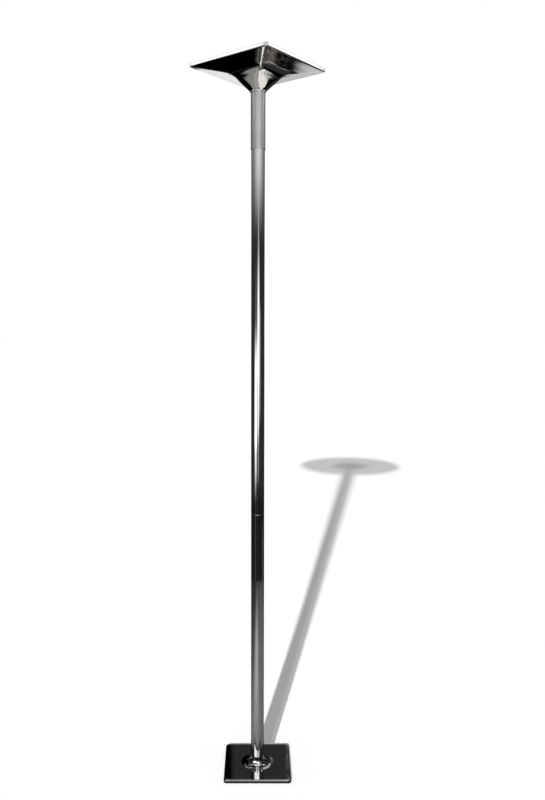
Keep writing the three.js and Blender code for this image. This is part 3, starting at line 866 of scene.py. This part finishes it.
def pole_inside():
    """The foot and the coupler that sit in the tubes' ends."""
    pole = radius_of("lower_tube")
    plug = radius_of("pole_coupler")
    bottom, top = level("pole_foot")
    tube_end = level("lower_tube")[0]
    bore = HUB_POST + RUNNING_GAP
    well = level("keeper_washer")[0] - RUNNING_GAP
    outline = [(bore, bottom), (pole, bottom), (pole, tube_end), (plug, tube_end)]
    outline += [(plug, top), (FOOT_WELL, top), (FOOT_WELL, well), (bore, well)]
    lathed("pole_foot", "pole", edged(outline))
    coupler = open_tube("coupler_tube", ZINC, "pole_coupler", COUPLER_WALL)
    put_in(drilled(coupler, screw_holes(COUPLER_SCREWS, pole)), "pole", "pole_coupler")


def thread_ring(height, crest):
    """A ring through the spindle's thread, which climbs by one pitch in each turn."""
    points = []
    for at in range(SMALL_SIDES):
        phase = (height / THREAD_PITCH - at / SMALL_SIDES) % 1
        share = max(0.0, min(1.0, 2 * abs(2 * phase - 1) - 0.5))
        reach = crest - THREAD_DEPTH * (1 - share)
        points.append(spoke_end(reach, at * 2 * math.pi / SMALL_SIDES, height))
    return points


def spindle():
    """The jack's spindle, threaded from end to end."""
    bottom, top = level("jack_spindle")
    steps = round((top - bottom) / THREAD_PITCH * THREAD_STEPS)
    heights = [bottom + (top - bottom) * step / steps for step in range(steps + 1)]
    rings = [thread_ring(z, min(SPINDLE_RADIUS, SPINDLE_END + min(z - bottom, top - z))) for z in heights]
    piece = skin("spindle_thread", rings, ZINC, closed=False)
    holes = [cross_hole(node, SPINDLE_RADIUS) for node in ("spindle_pin", "stop_pin")]
    put_in(drilled(piece, holes), "head", "jack_spindle")


def cross_pin(node, length):
    """A pin across the spindle, with bevelled ends."""
    bottom, top = level(node)
    radius = (top - bottom) / 2
    end = radius - EDGE
    rings = small_rings([(end, 0), (radius, EDGE), (radius, length - EDGE), (end, length)])
    place = Matrix.Translation((0, 0, middle_of(node).z)) @ Matrix.Rotation(HEAD_TURN, 4, "Z")
    place = place @ Matrix.Rotation(math.pi / 2, 4, "Y") @ Matrix.Translation((0, 0, -length / 2))
    put_in(skin(f"{node}_bar", rings, GROUND, closed=False, place=place), "head", node)


def lock_nut():
    """A hexagon nut whose corners are bevelled at both faces."""
    bottom, top = level("spindle_lock_nut")
    bore = SPINDLE_RADIUS + FIT_GAP
    flat = LOCK_NUT_FLATS / 2
    rings = small_rings([(bore, bottom), (flat - EDGE, bottom)])
    rings += [hexagon_ring(flat, bottom + NUT_BEVEL), hexagon_ring(flat, top - NUT_BEVEL)]
    rings += small_rings([(flat - EDGE, top), (bore, top)])
    place = Matrix.Rotation(HEAD_TURN + math.pi / 6, 4, "Z")
    piece = skin("spindle_lock_nut_hexagon", rings, ZINC, place=place)
    put_in(piece, "head", "spindle_lock_nut")


def jack():
    pole = radius_of("lower_tube")
    bore = SPINDLE_RADIUS + FIT_GAP
    bottom, top = level("jack_nut")
    plug = radius_of("pole_coupler")
    tube_end = level("upper_tube")[1]
    outline = [(bore, bottom), (plug, bottom), (plug, tube_end), (pole, tube_end), (pole, top), (bore, top)]
    holes = screw_holes(NUT_SCREWS, pole)
    lathed("jack_nut", "pole", edged(outline), holes)
    spindle()
    cross_pin("spindle_pin", 2 * pole)
    lock_nut()
    bottom, top = level("spindle_stop")
    stop = radius_of("spindle_stop")
    lathed("spindle_stop", "head", ring_outline(bore, stop, bottom, top), [cross_hole("stop_pin", stop)])
    cross_pin("stop_pin", 2 * (stop - 2 * EDGE))


def ceiling_hub():
    bore = SPINDLE_RADIUS + FIT_GAP
    boss = radius_of("lower_tube")
    flange = level("ceiling_sleeve")[1]
    bottom, top = level("ceiling_hub")
    outer = radius_of("ceiling_hub")
    outline = [(bore, bottom), (boss, bottom), (boss, flange), (outer, flange), (outer, top), (bore, top)]
    screws = numbered("ceiling_hub_screw", 4)
    holes = upright_holes(screws, HUB_SCREW + FIT_GAP, level(screws[0])[0], top)
    holes += screw_holes(SLEEVE_SCREWS, boss)
    holes.append(cross_hole("spindle_pin", boss))
    lathed("ceiling_hub", "head", edged(outline), holes)


# The stage: a pale floor, dark curtains and windows that only reflections show


COOL = (0.97, 0.985, 1)
CREAM = (1, 0.965, 0.89)
BROWN = (1, 0.88, 0.79)
MOTTLE_SIZE = 60 * MM


def from_mesh(tree, name):
    """What the mesh's attribute of that name says."""
    attribute = tree.nodes.new("ShaderNodeAttribute")
    attribute.attribute_name = name
    return attribute.outputs["Fac"]


def glowing(tree, colour, strength):
    shader = tree.nodes.new("ShaderNodeEmission")
    shader.inputs["Color"].default_value = (*colour, 1)
    tree.links.new(strength, shader.inputs["Strength"])
    return shader.outputs["Emission"]


def emitter(name):
    """A new empty material, its node tree and its surface's socket."""
    material = bpy.data.materials.new(name)
    material.use_nodes = True
    tree = material.node_tree
    tree.nodes.clear()
    output = tree.nodes.new("ShaderNodeOutputMaterial")
    return material, tree, output.inputs["Surface"]


def curtain_material():
    """Glows on both sides as the mesh's attributes say, evenly and in patches."""
    material, tree, surface = emitter("stage_glow")
    patches = ranged(tree, grain(tree, MOTTLE_SIZE, detail=4), 0, 2, 0.46, 0.6)
    mottled = combined(tree, "MULTIPLY", from_mesh(tree, "mottled"), patches)
    both = tree.nodes.new("ShaderNodeAddShader")
    tree.links.new(glowing(tree, COOL, from_mesh(tree, "glow")), both.inputs[0])
    tree.links.new(glowing(tree, BROWN, mottled), both.inputs[1])
    tree.links.new(both.outputs["Shader"], surface)
    return material


def one_sided(tree, shader, surface):
    """Shows the shader on the upper side, and is clear from below."""
    geometry = tree.nodes.new("ShaderNodeNewGeometry")
    clear = tree.nodes.new("ShaderNodeBsdfTransparent")
    mix = tree.nodes.new("ShaderNodeMixShader")
    tree.links.new(geometry.outputs["Backfacing"], mix.inputs["Fac"])
    tree.links.new(shader, mix.inputs[1])
    tree.links.new(clear.outputs["BSDF"], mix.inputs[2])
    tree.links.new(mix.outputs["Shader"], surface)


def shelf_material():
    material, tree, surface = emitter("stage_shelf_glow")
    one_sided(tree, glowing(tree, CREAM, from_mesh(tree, "glow")), surface)
    return material


def shade_material():
    """Lets the share of the light through that the mesh's attribute says."""
    material, tree, surface = emitter("stage_shade")
    clear = tree.nodes.new("ShaderNodeBsdfTransparent")
    tree.links.new(from_mesh(tree, "clear"), clear.inputs["Color"])
    tree.links.new(clear.outputs["BSDF"], surface)
    return material


CURTAIN_MATERIAL = curtain_material()
SHELF_MATERIAL = shelf_material()


def stage_sheet(name, rows, material=CURTAIN_MATERIAL, **attributes):
    """An open sheet through rows of points, with its attributes there, seen in reflections only."""
    mesh = bpy.data.meshes.new(name)
    points = [point for row in rows for point in row]
    count = len(rows[0])
    faces = []
    for row in range(len(rows) - 1):
        for at in range(count - 1):
            corner = row * count + at
            faces.append((corner, corner + 1, corner + count + 1, corner + count))
    mesh.from_pydata(points, [], faces)
    for kind, value_at in attributes.items():
        attribute = mesh.attributes.new(kind, "FLOAT", "POINT")
        attribute.data.foreach_set("value", [value_at(point) for point in points])
    mesh.materials.append(material)
    sheet = added(name, mesh)
    sheet.visible_camera = False
    sheet.visible_diffuse = False
    sheet.visible_shadow = False
    return sheet


def bearing(point):
    """The compass bearing of a point in degrees, 0 at the front and 90 at the right."""
    return math.degrees(math.atan2(point[0], -point[1]))


def ramp_between(value, low, high, soft):
    """1 between low and high, fading to 0 over the soft width outside them."""
    inside = min((value - low) / soft, (high - value) / soft) + 1
    inside = max(0.0, min(1.0, inside))
    return inside * inside * (3 - 2 * inside)


# The curtain that hangs all round
CURTAIN_RADIUS = 2.0
CURTAIN_TOP = 3.4
CURTAIN_GLOW = 0.035

# A window counts at its bearings and a full turn either way
ROUND_TURNS = (-360, 0, 360)

# Windows of light in the curtain, and dark ones. Each has its bearings from and to in degrees, its
# heights from and to in metres, its glow, and how soft it is at its sides, its foot and its top.
WINDOWS = [
    # High up: bright in front, and dimmer out to the sides
    (4, 14, 2.54, CURTAIN_TOP, 0.7, 90, 0.5, 1),
    (-120, 120, 2.63, CURTAIN_TOP, 0.26, 25, 0.65, 1),
    # What the two visible edges of the ceiling cover reflect
    (-83, -73, 2.84, CURTAIN_TOP, 1.5, 6, 0.12, 1),
    (94, 104, 2.8, CURTAIN_TOP, 1.5, 6, 0.12, 1),
    # In front, level with the pole's middle: two bright windows, and dim ones round them
    (-47, -24, 0.9, 1.14, 2.2, 14, 0.14, 0.48),
    (-10, 11, 1, 1.14, 2.2, 14, 0.2, 0.48),
    (16, 44, 1.08, 1.6, 0.3, 8, 0.15, 0.1),
    (0, 19, 1.3, 1.58, 1.5, 12, 0.2, 0.54),
    (6, 14, 1.6, 2.1, 0.42, 8, 0.2, 0.3),
    (-42, -20, 1.3, 1.51, 0.13, 14, 0.2, 0.56),
    (-42, -34, 0.75, 0.89, 1.2, 18, 0.28, 0.14),
    (-30, 14, 0.68, 0.89, 0.34, 14, 0.1, 0.14),
    # Near the floor: less light all round, and two faint streaks
    (-180, 180, 0, 0.45, -0.02, 1, 0.1, 0.15),
    (-47, -37, 0.02, 0.42, 0.06, 6, 0.1, 0.05),
    (86, 100, 0.02, 0.3, 0.07, 6, 0.1, 0.1),
    # Behind: what the ceiling cover's facets and its cone show, light and dark
    (-179, -168, 1.95, 2.4, 1.02, 1, 0.07, 0.07),
    (164, 179, 1.7, 2.4, 0.62, 1, 0.3, 0.07),
    (-175, -125, 0, 1.4, -CURTAIN_GLOW, 1, 0.1, 0.05),
    (-162, -125, 1.45, 1.9, -CURTAIN_GLOW, 2, 0.05, 0.1),
    (164, 174, 1.25, 1.33, -CURTAIN_GLOW, 1, 0.02, 0.05),
    (163, 170, 1.375, 1.6, 0.75, 3, 0.05, 0.1),
    # Behind, in the middle: a rail that draws the trumpet's foot
    (158, 202, 1.49, 1.55, 0.35, 8, 0.03, 0.03),
]
# Windows whose light comes in patches
MOTTLED_WINDOWS = [
    (167, 174, 0.95, 1.23, 0.2, 1, 0.1, 0.02),
    (167, 174, 1.25, 1.34, 0.06, 1, 0.02, 0.02),
]
# Windows in the shelf, with distances from the axis in place of heights
SHELF_WINDOWS = [
    # Left
    (-110, -62, 0.1, 1.26, 0.36, 5, 0.05, 0.05),
    (-58, -38, 0.1, 0.42, 0.52, 4, 0.05, 0.1),
    (-34, -17, 0.1, 0.42, 0.4, 4, 0.05, 0.1),
    # Right
    (-12, 78, 0.1, 0.42, 0.75, 5, 0.05, 0.1),
    (83, 115, 0.1, 1.9, 0.7, 5, 0.05, 0.1),
    # Right, brighter near the axis
    (-3, 56, 0.1, 0.21, 0.45, 5, 0.05, 0.03),
    (61, 80, 0.1, 0.34, 0.45, 5, 0.05, 0.06),
    (85, 99, 0.1, 0.52, 0.45, 5, 0.05, 0.1),
    # What the cover's near edge shows by way of the sleeve: a bright line
    (-2, 24, 0.46, 0.9, 6, 6, 0.03, 0.1),
]
# The shelf's far edges: where each would cross the middle, and how steeply it runs back
SHELF_LEFT_EDGES = [(0.218, 0.395)]
SHELF_RIGHT_EDGES = [(-0.08, 0.37), (0.135, 0.155)]
SHELF_SOFT = 0.02

# The lamp overhead, which leaves out its middle: its bearings from and to, its glow and how soft it is
LAMP = (-44, 40, 1.6, 8)
LAMP_NEAR = 0.1
# The dark bar down the middle of the front: it hides light below its gap, and in the lamp above it
BAR_HALF_WIDTH = 0.22
BAR_SOFT = 0.04
BAR_DARKNESS = 0.88
BAR_GAP_FROM = 1.32
BAR_GAP_TO = 3.3
BAR_GAP_SOFT = 0.1


def barred(point, glow):
    """The glow, less what the dark bar in front hides of it."""
    if point[1] > 0:
        return glow
    hidden = BAR_DARKNESS * ramp_between(point[0], -BAR_HALF_WIDTH, BAR_HALF_WIDTH, BAR_SOFT)
    gap = ramp_between(point[2], BAR_GAP_FROM, BAR_GAP_TO, BAR_GAP_SOFT)
    return glow * (1 - hidden * (1 - gap))


def window_glow(windows, turn, along):
    """What the windows give at a bearing and a height, or a distance from the axis."""
    glow = 0
    for start, end, low, high, strength, soft_turn, soft_below, soft_above in windows:
        across = max(ramp_between(turn + round_turn, start, end, soft_turn) for round_turn in ROUND_TURNS)
        rise = ramp_between(along, low, math.inf, soft_below)
        glow += strength * across * min(rise, ramp_between(along, 0, high, soft_above))
    return glow


def curtain_glow(point):
    return max(0, CURTAIN_GLOW + barred(point, window_glow(WINDOWS, bearing(point), point[2])))


def shelf_glow(point):
    """What the shelf's windows give in front of its far edge, which runs back from left to right."""
    x, y = point[:2]
    edges = SHELF_RIGHT_EDGES if x > 0 else SHELF_LEFT_EDGES
    edge = min(at_middle + slope_share * x for at_middle, slope_share in edges)
    glow = window_glow(SHELF_WINDOWS, bearing(point), Vector((x, y)).length)
    return glow * ramp_between(y, -math.inf, edge, SHELF_SOFT)


def canopy_glow(point):
    start, end, strength, soft_turn = LAMP
    if Vector(point[:2]).length < LAMP_NEAR:
        return CURTAIN_GLOW
    return CURTAIN_GLOW + barred(point, strength * ramp_between(bearing(point), start, end, soft_turn))


def stage_circle(radius, height, columns=360, half=math.pi):
    """Points round the axis, half a turn or less to the left and right of the front."""
    turns = [(2 * at / columns - 1) * half for at in range(columns + 1)]
    return [(radius * math.sin(turn), -radius * math.cos(turn), height) for turn in turns]


def curtains(levels=90, rings=24):
    """The curtain all round, and the sheet over it."""
    upright = [stage_circle(CURTAIN_RADIUS, CURTAIN_TOP * step / levels) for step in range(levels + 1)]
    stage_sheet(
        "stage_curtains",
        upright,
        glow=curtain_glow,
        mottled=lambda point: window_glow(MOTTLED_WINDOWS, bearing(point), point[2]),
    )
    over = [stage_circle(CURTAIN_RADIUS * step / rings, CURTAIN_TOP) for step in range(rings + 1)]
    stage_sheet("stage_canopy", over, glow=canopy_glow)


# The shelf: a sheet round the pole's front and sides that only the cone above it sees
SHELF_TOP = 1.9
SHELF_FALL_SHARE = 0.1
SHELF_NEAR = 0.13
SHELF_HALF = math.radians(125)


def shelf(rings=48):
    reaches = [CURTAIN_RADIUS - (CURTAIN_RADIUS - SHELF_NEAR) * step / rings for step in range(rings + 1)]
    rows = [stage_circle(reach, SHELF_TOP - SHELF_FALL_SHARE * reach, half=SHELF_HALF) for reach in reaches]
    stage_sheet("stage_shelf", rows, SHELF_MATERIAL, glow=shelf_glow)


# The floor's dark sheen: a haze and a pool of light in it, and the dark that it keeps round the base
FLOOR_HAZE = 0.17
FLOOR_HAZE_PLACE = Vector((0.5, -0.3))
FLOOR_HAZE_REACH = 2.6
FLOOR_POOL_PLACE = Vector((-0.28, -0.9))
FLOOR_POOL_REACH = Vector((0.85, 1.25))
FLOOR_POOL_GLOW = 0.42
FLOOR_DARK_FROM = 0.125
FLOOR_DARK_TO = 0.19
FLOOR_SHEEN_LIFT = 0.5 * MM
FLOOR_RING_POWER = 1.5


def floor_glow(point):
    """A haze of light round the base and a pool of it in front, but none close to the base."""
    place = Vector(point[:2])
    off = place - FLOOR_POOL_PLACE
    pool = ramp_between(Vector((off.x / FLOOR_POOL_REACH.x, off.y / FLOOR_POOL_REACH.y)).length, 0, 0, 1)
    haze = ramp_between((place - FLOOR_HAZE_PLACE).length, 0, 0, FLOOR_HAZE_REACH)
    aside = max(abs(place.x), abs(place.y))
    clear = ramp_between(aside, FLOOR_DARK_TO, CURTAIN_RADIUS, FLOOR_DARK_TO - FLOOR_DARK_FROM)
    return CURTAIN_GLOW + (FLOOR_HAZE * haze + FLOOR_POOL_GLOW * pool) * clear


def dark_floor(rings=40):
    """A sheet just over the floor, whose rings lie closer together near the base."""
    reaches = [CURTAIN_RADIUS * (step / rings) ** FLOOR_RING_POWER for step in range(rings + 1)]
    rows = [stage_circle(reach, FLOOR_SHEEN_LIFT) for reach in reaches]
    stage_sheet("stage_dark_floor", rows, glow=floor_glow)


# The pale floor and the light on it
FLOOR_REACH = 60
FLOOR_COLOUR = (1, 1, 1)
WORLD_FILL = 0.36
SUN_ELEVATION = math.radians(21.8)
SUN_BEARING = math.radians(-9.9)
SUN_STRENGTH = 5.48
SUN_ANGLE = math.radians(1)
# The strip and the disc that widen the shadow of the pole and of its head: the shares of light that
# they let through at the floor and at the ceiling, and their places and sizes
SHADE_CLEAR_LOW = 0.1
SHADE_CLEAR_HIGH = 0.32
STRIP_BACK = 0.15
STRIP_ASIDE = 14 * MM
STRIP_WIDTH_SHARE = 0.0175
DISC_BACK = 0.8
DISC_RADIUS = 0.54


def pale_floor():
    """The floor, which is clear from below, so that the underside can be looked at."""
    rows = [[(x * FLOOR_REACH, y * FLOOR_REACH, 0) for x in (-1, 1)] for y in (-1, 1)]
    mesh = bpy.data.meshes.new("stage_floor")
    mesh.from_pydata([*rows[0], *rows[1]], [], [(0, 1, 3, 2)])
    material, tree, shader = finish("stage_floor", FLOOR_COLOUR, 0, 0.9)
    shader.inputs["Specular IOR Level"].default_value = 0
    one_sided(tree, shader.outputs["BSDF"], tree.nodes["Material Output"].inputs["Surface"])
    mesh.materials.append(material)
    floor = added("stage_floor", mesh)


def light():
    sun_data = bpy.data.lights.new("sun", "SUN")
    sun_data.energy = SUN_STRENGTH
    sun_data.angle = SUN_ANGLE
    sun = added("sun", sun_data)
    sun.visible_glossy = False
    toward = spoke_end(math.cos(SUN_ELEVATION), SUN_BEARING - math.pi / 2, math.sin(SUN_ELEVATION))
    sun.rotation_mode = "QUATERNION"
    sun.rotation_quaternion = toward.to_track_quat("Z", "Y")


def shade_clear(point):
    """The share of the light that a shade lets through, which grows with height."""
    return SHADE_CLEAR_LOW + (SHADE_CLEAR_HIGH - SHADE_CLEAR_LOW) * point[2] / cad_high.z


def shades():
    """A strip that widens upward and a disc, both behind the pole, which only hold back the sun."""
    away = spoke_end(1, SUN_BEARING + math.pi / 2, 0)
    across = spoke_end(1, SUN_BEARING, 0)
    slope = math.tan(SUN_ELEVATION)
    strip = []
    for reach in (STRIP_BACK, cad_high.z / slope - DISC_RADIUS):
        middle = away * STRIP_BACK + across * STRIP_ASIDE + Vector((0, 0, (reach - STRIP_BACK) * slope))
        half = across * STRIP_WIDTH_SHARE * (CAMERA_DISTANCE + reach) / 2
        strip.append([middle - half, middle + half])
    centre = away * DISC_BACK + Vector((0, 0, cad_high.z - DISC_BACK * slope))
    disc = [[centre + Vector(point) for point in stage_circle(reach, 0)] for reach in (WELD, DISC_RADIUS)]
    material = shade_material()
    for name, rows in (("stage_strip", strip), ("stage_disc", disc)):
        sheet = stage_sheet(name, rows, material, clear=shade_clear)
        sheet.visible_glossy = False
        sheet.visible_shadow = True


def white_world():
    """White to the camera and in metal and glass, and a plain fill for everything else."""
    world = bpy.data.worlds.new("white_world")
    bpy.context.scene.world = world
    world.use_nodes = True
    tree = world.node_tree
    tree.nodes.clear()
    path = tree.nodes.new("ShaderNodeLightPath")
    seen = combined(tree, "ADD", path.outputs["Is Camera Ray"], path.outputs["Is Glossy Ray"])
    seen = combined(tree, "ADD", seen, path.outputs["Is Transmission Ray"])
    strength = ranged(tree, seen, WORLD_FILL, 1, 0, 1)
    background = tree.nodes.new("ShaderNodeBackground")
    output = tree.nodes.new("ShaderNodeOutputWorld")
    background.inputs["Color"].default_value = (1, 1, 1, 1)
    tree.links.new(strength, background.inputs["Strength"])
    tree.links.new(background.outputs["Background"], output.inputs["Surface"])


def camera():
    data = bpy.data.cameras.new("camera")
    data.sensor_width = SENSOR_MM
    data.lens = SENSOR_MM * FOCAL_PIXELS / PHOTO_HEIGHT
    data.shift_x = (PHOTO_WIDTH / 2 - AXIS_PIXEL) / PHOTO_HEIGHT
    made = added("camera", data)
    made.location = (0, -CAMERA_DISTANCE, CAMERA_HEIGHT)
    made.rotation_euler = (math.pi / 2 + CAMERA_PITCH, CAMERA_ROLL, 0)
    bpy.context.scene.camera = made


finish_nodes()
tubes()
base_cover()
ceiling_cover()
pads()
grub_screws()
countersunk_screws()
keeper_screw()
ball_bearing()
base_hub()
pole_inside()
jack()
ceiling_hub()
pale_floor()
curtains()
shelf()
dark_floor()
light()
shades()
white_world()
camera()
bpy.context.scene.view_settings.view_transform = "Standard"
